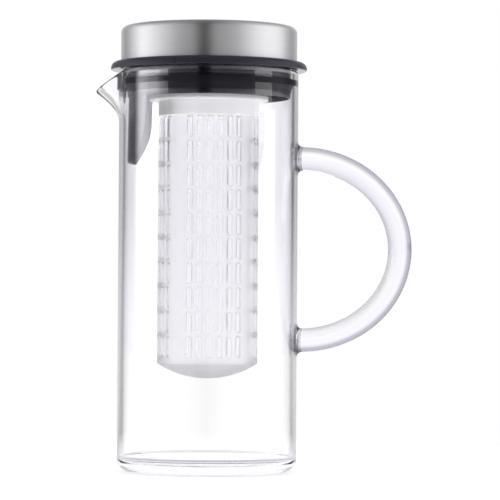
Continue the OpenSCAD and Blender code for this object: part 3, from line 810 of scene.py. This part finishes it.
def milky_painted_glow(tree):
    """The plastic where it is thick, at the collar and the neck. It scatters all the light, and
    below the lid it has a painted glow, an emission that stands in for the light that comes
    through it: most on its inner face, and somewhat on the outer one where that turns away."""
    x, y, z = tree.at()
    inner = (((tube_in_r + painted_glow_reach) * mm - (x * x + y * y) ** 0.5) / (painted_glow_step * mm)).clipped()
    aside = tree.node("ShaderNodeLayerWeight", {}, {"Blend": 0.5}, "Facing")
    below = ((plug_z * mm - z) / (painted_glow_fade * mm)).clipped()
    # Painted glow: emission standing in for light, strongest on the inner face.
    glow = (inner * painted_glow_in + (1 - inner) * aside * painted_glow_side) * below
    return tumbled(tree) | {
        "Emission Color": tree.blend(glow, (0, 0, 0), (1, 1, 1)), "Emission Strength": 1.0,
    }


def frosted(tree):
    """The plastic in the thin wall: light goes through it, part of it slightly spread."""
    flow = tree.grain((1, 1, 0.12), 90, 2)
    return tumbled(tree) | {
        "Base Color": tree.blend(flow, (0.955, 0.955, 0.965), (0.985, 0.985, 0.99)),
        "IOR": 1.2, "Transmission Weight": 1.0, "Alpha": 0.58 + 0.14 * flow,
    }


frosted_plastic, milky_plastic_painted_glow = finish("frosted_plastic", frosted), finish("milky_plastic_painted_glow", milky_painted_glow)
infuser = build("slotted_tube", infuser_skin(), sharp=radians(50))
place(infuser, frosted_plastic, "infuser", "frosted_plastic", "infuser_tube")
painted(infuser, milky_plastic_painted_glow, lambda z: z > frost_from)

# The stage. A pale floor that runs into a pale backdrop, soft light all round that is darker in
# front and at the sides, three broad lamps, and the camera.
floor_size, floor_z, near_r, far_r, own_light = 3.0, -0.0003, 0.16, 0.42, 0.6
camera_d, camera_h, camera_turns, lens = 1.583, 0.099, (0.853, 0.89, 0.38), 204.0
strip_low, strip_fade_in, strip_top, strip_fade_out = -0.010, 0.045, 0.086, 0.006
steep_from, steep_fade, steep_loss = 0.4, 0.5, 0.6
high_gain, low_gain, clear_gain, inside_gain = 1.55, 5.2, 1.1, 0.65
cool, white = (0.955, 0.95, 1.0), (1, 1, 1)


def studio(tree, spot, low_share):
    """Brightness of the room by compass direction. The place is turned into an angle round the
    upright axis, 0.5 at the camera, and a rise over the horizon. Gloss sees a panel at each side, a
    dark gap beside the camera, low on the left a strong strip, and less light from above. Light
    through glass comes from a white room that is greyer towards its corners, and what is inside
    the glass gets some more, for the light that the glass throws in."""
    x, y, z = tree.split(spot)
    turn = x.math("ARCTAN2", x, y * -1) / (2 * pi) + 0.5
    rise = z / (x * x + y * y) ** 0.5
    ramp = lambda stops: tree.node("ShaderNodeValToRGB", {"stops": stops}, {0: turn})
    high = ramp([
        (0.0, 0.62), (0.05, 0.55), (0.09, 0.30), (0.133, 0.38), (0.165, 0.68), (0.195, 0.78),
        (0.25, 0.70), (0.31, 0.68), (0.35, 0.60), (0.385, 0.38), (0.43, 0.33), (0.453, 0.28),
        (0.466, 0.0), (0.493, 0.0), (0.503, 0.09), (0.516, 0.33), (0.56, 0.34), (0.60, 0.43),
        (0.643, 0.67), (0.676, 0.89), (0.72, 1.03), (0.775, 1.03), (0.80, 0.94), (0.84, 0.52),
        (0.88, 0.32), (0.95, 0.52), (1.0, 0.62),
    ])
    low = ramp([
        (0.0, 0.13), (0.08, 0.12), (0.105, 0.03), (0.190, 0.04), (0.226, 1.0), (0.258, 1.0),
        (0.28, 0.65), (0.30, 0.55), (0.318, 0.25), (0.34, 0.04), (0.37, 0.026), (0.455, 0.026),
        (0.47, 0.0), (0.50, 0.0), (0.515, 0.026), (0.67, 0.026), (0.70, 0.028), (0.725, 0.045),
        (0.75, 0.055), (0.80, 0.055), (0.83, 0.022), (0.905, 0.03), (0.93, 0.12), (1.0, 0.13),
    ])
    through = ramp([
        (0.0, 1.0), (0.05, 1.0), (0.09, 0.9), (0.14, 0.8), (0.19, 0.85), (0.25, 1.0),
        (0.32, 0.97), (0.375, 0.8), (0.43, 1.0), (0.57, 1.0), (0.625, 0.8), (0.68, 0.97),
        (0.75, 1.0), (0.82, 0.95), (0.875, 0.85), (0.93, 1.0), (1.0, 1.0),
    ])
    level = ((rise - strip_low) / strip_fade_in).clipped() * ((strip_top - rise) / strip_fade_out).clipped()
    level = level * low_share
    steep = ((rise - steep_from) / steep_fade).clipped()
    gloss = (high * (1 - level) * high_gain + low * level * low_gain) * (1 - steep_loss * steep)
    kinds = ("Is Camera Ray", "Is Transmission Ray", "Glossy Depth", "Diffuse Depth")
    seen, clear, glossy, diffuse = (tree.node("ShaderNodeLightPath", output=k).clipped() for k in kinds)
    shine = glossy * (1 - diffuse)
    inside = clear * diffuse
    clear = clear * (1 - glossy) * (1 - diffuse)
    rest = (1 - seen - clear - shine).clipped()
    return seen + clear * through * clear_gain + shine * gloss + rest * (1 + inside_gain * inside)


world = bpy.data.worlds.new("studio")
bpy.context.scene.world = world
room = Tree(world)
sky = room.node("ShaderNodeTexCoord", output="Generated")
plain = room.node("ShaderNodeLightPath", output="Is Camera Ray")
hue = room.blend(plain, cool, white)
light = room.node("ShaderNodeBackground", {}, {"Color": hue, "Strength": studio(room, sky, 1)})
room.node("ShaderNodeOutputWorld", {}, {"Surface": light})

floor_mesh = bpy.data.meshes.new("floor")
corners = [(x * floor_size, y * floor_size, floor_z) for x, y in ((-1, -1), (1, -1), (1, 1), (-1, 1))]
floor_mesh.from_pydata(corners, [], [(0, 1, 2, 3)])
floor = bpy.data.objects.new("floor", floor_mesh)
bpy.context.scene.collection.objects.link(floor)
pale = bpy.data.materials.new("pale_floor")
ground = Tree(pale)
spot = ground.node("ShaderNodeTexCoord", output="Object")
x, y, z = ground.split(spot)
away = (((x * x + y * y) ** 0.5 - near_r) / (far_r - near_r)).clipped() * (1 - own_light) + own_light
matt = ground.node("ShaderNodeBsdfDiffuse", {}, {"Color": (*white, 1)})
glow = ground.node("ShaderNodeEmission", {}, {"Color": (*white, 1), "Strength": studio(ground, spot, 0)})
mixed = ground.node("ShaderNodeMixShader", {}, {0: away, 1: matt, 2: glow})
ground.node("ShaderNodeOutputMaterial", {}, {"Surface": mixed})
floor_mesh.materials.append(pale)


def lamp(name, spot, aim, width, height, watts):
    """A soft rectangular lamp that faces a point."""
    data = bpy.data.lights.new(name, "AREA")
    data.shape, data.size, data.size_y, data.energy = "RECTANGLE", width, height, watts
    item = bpy.data.objects.new(name, data)
    bpy.context.scene.collection.objects.link(item)
    item.location = spot
    item.rotation_euler = (Vector(aim) - Vector(spot)).to_track_quat("-Z", "Y").to_euler()
    item.visible_glossy = False


lamp("left_lamp", (-1.3, -0.5, 0.8), (0, 0, 0.12), 0.8, 1.2, 7)
lamp("right_lamp", (1.3, -0.3, 0.8), (0, 0, 0.12), 0.8, 1.2, 6)
lamp("top_lamp", (0, 0.1, 1.5), (0, 0, 0.1), 1.2, 1.2, 5)

scene = bpy.context.scene
scene.view_settings.view_transform = "Standard"
view = bpy.data.cameras.new("photo_view")
view.lens, view.sensor_width = lens, 36.0
camera = bpy.data.objects.new("photo_view", view)
scene.collection.objects.link(camera)
camera.location = (0, -camera_d, camera_h)
yaw, pitch, roll = (radians(turn) for turn in camera_turns)
gaze = Vector((sin(yaw) * cos(pitch), cos(yaw) * cos(pitch), sin(pitch)))
camera.rotation_mode = "QUATERNION"
camera.rotation_quaternion = gaze.to_track_quat("-Z", "Y") @ Quaternion((0, 0, 1), roll)
scene.camera = camera
